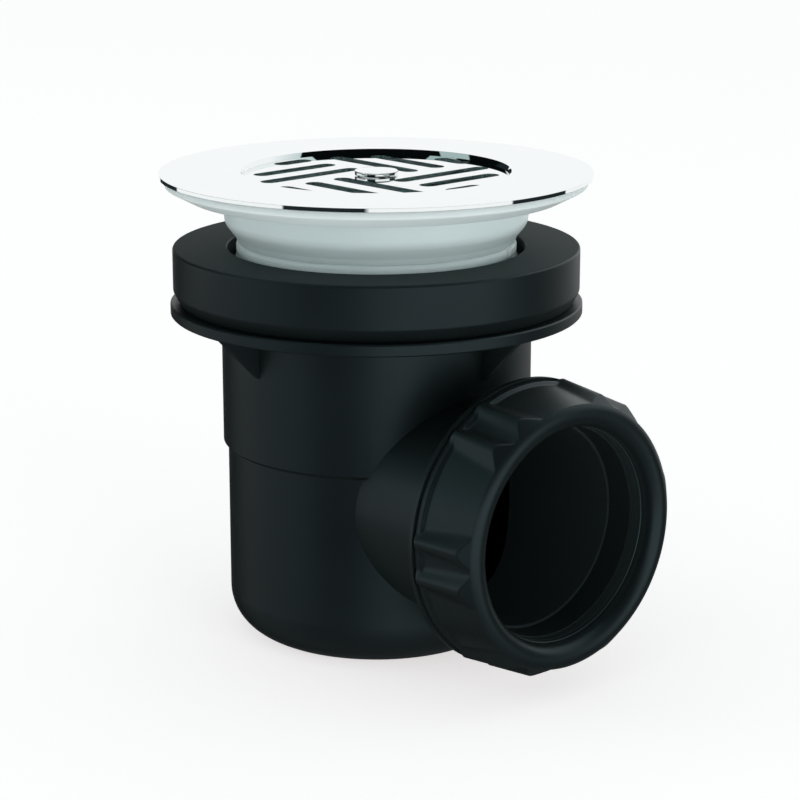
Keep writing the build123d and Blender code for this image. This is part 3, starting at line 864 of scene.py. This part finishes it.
# %% [markdown]
# What polished faces see. Low down, gaps between the white screens are dark: they draw the
# dashes on the chrome's edge and the slow bands on the black plastic. Higher up it is dark,
# with a grey patch at the left and a haze at the right that turns white towards the back.
# Everything darkens towards the floor, more sharply at the sides, where the middle of the
# screens is dimmer too.

# %% Mirrored studio
SOFT = 0.4
DARK = (0.014, 0.020, 0.022)
NIGHT = (0.002, 0.003, 0.003)
GREY = (0.40, 0.51, 0.50)
HAZE = (0.60, 0.70, 0.70)
PALE = (1, 1, 1)
BLANK = (0, 0, 0)


def shade(level):
    """Neutral colour of one level."""
    return (level, level, level)


gaps = ((-158.5, -127.6), (-48.5, -4.2), (75.3, 117.7))
gap_stops = [(-180, PALE)]
for start, stop in gaps:
    gap_stops += [
        (start - SOFT, PALE), (start + SOFT, DARK), (stop - SOFT, DARK), (stop + SOFT, PALE),
    ]
lower = ramp_round(tree, around, gap_stops)
upper = ramp_round(tree, around, [
    (-180, PALE), (-172, PALE), (-165, NIGHT), (-96.4, NIGHT), (-95.6, GREY), (-66.0, GREY),
    (-65.2, NIGHT), (77.6, NIGHT), (78.4, HAZE), (112, PALE),
])
split = remap(tree, facing["up"], 0.0, 1.0, 0.20, 0.25)
front_band = ramp(tree, height, [(0.0, shade(0.07)), (0.24, shade(0.15)), (0.37, PALE)])
side_band = ramp(tree, height, [
    (0.0, shade(0.07)), (0.35, shade(0.12)), (0.394, shade(0.16)), (0.408, PALE),
])
sideways = ramp_round(tree, around, [
    (-180, PALE), (-48, PALE), (-20, BLANK), (76, BLANK), (110, PALE),
])
band = mix(tree, sideways, front_band, side_band)
flanks = ramp_round(tree, around, [
    (-150, BLANK), (-130, PALE), (-62, PALE), (-50, BLANK),
    (104, BLANK), (116, PALE), (136, PALE), (150, BLANK),
])
middle = ramp(tree, height, [(0.428, BLANK), (0.436, PALE), (0.564, PALE), (0.572, BLANK)])
dim_share = mix(tree, 1.0, flanks, middle, "MULTIPLY")
dim = mix(tree, dim_share, (*PALE, 1), (*shade(0.42), 1))
screened = mix(tree, 1.0, mix(tree, split, lower, upper), band, "MULTIPLY")
mirrored = mix(tree, 1.0, screened, dim, "MULTIPLY")
print("gaps between the screens", gaps)

# %% [markdown]
# Light Path tells the rays apart: glossy rays see the studio above, diffuse light is an even
# sky that fades upward, and the camera sees plain white.

# %% Sky and background
fade = remap(tree, facing["up"], 0.0, 1.0, 0.0, 0.8)
sky = mix(tree, fade, (0.66, 0.75, 0.75, 1), (0.26, 0.30, 0.30, 1))
path = add_node(tree, "ShaderNodeLightPath")
plain = maths(
    tree, "MAXIMUM", path.outputs["Is Camera Ray"], path.outputs["Is Transmission Ray"],
)
lit = mix(tree, path.outputs["Is Glossy Ray"], sky, mirrored)
shown = mix(tree, plain, lit, (*PALE, 1))
tree.links.new(shown, tree.nodes["Background"].inputs["Color"])
tree.nodes["Background"].inputs["Strength"].default_value = 1.0
print("studio", len(tree.nodes), "nodes")

# %% [markdown]
# Light. Two large soft boxes shape the white plastic: the stronger one low at the front
# right, which also reaches into the outlet, and a weaker one at the left. They are kept out
# of reflections, which the studio draws.

# %% Soft boxes


def soft_box(name, azimuth, elevation, distance, size, power):
    """Square area light that faces the middle of the object."""
    data = bpy.data.lights.new(name, "AREA")
    data.size = size
    data.energy = power
    lamp = bpy.data.objects.new(name, data)
    bpy.context.scene.collection.objects.link(lamp)
    sweep = math.radians(azimuth)
    flat = toward_camera * math.cos(sweep) + camera_right * math.sin(sweep)
    climb = math.radians(elevation)
    target = Vector((0, 0, 0.05))
    way = flat * math.cos(climb) + Vector((0, 0, math.sin(climb)))
    lamp.location = target + way * distance
    lamp.rotation_euler = (target - lamp.location).to_track_quat("-Z", "Y").to_euler()
    lamp.visible_glossy = False
    lamp.visible_camera = False
    print(name, "at", [round(v, 2) for v in lamp.location])


soft_box("key", 32, 5, 1.2, 0.6, 3.6)
soft_box("fill", -100, 8, 1.2, 0.7, 1.5)

# %% [markdown]
# Camera, solved from the photo's ellipses: about fifteen degrees above the rim, with a long
# lens, turned so that the outlet points to the front right.

# %% Camera
camera_data = bpy.data.cameras.new("camera")
camera_data.sensor_fit = "HORIZONTAL"
camera_data.sensor_width = 36.0
camera_data.lens = 108.95
camera = bpy.data.objects.new("camera", camera_data)
bpy.context.scene.collection.objects.link(camera)
camera_place = (0.36246, -0.29858, 0.17104)
forward = Vector((-0.7400, 0.6220, -0.2556)).normalized()
right = camera_right.normalized()
up = right.cross(forward)
tilt = Matrix((right, up, -forward)).transposed()
camera.matrix_world = Matrix.Translation(camera_place) @ tilt.to_4x4()
bpy.context.scene.camera = camera
bpy.context.scene.view_settings.view_transform = "Standard"
print("camera at", camera_place, "lens", round(camera_data.lens, 2))
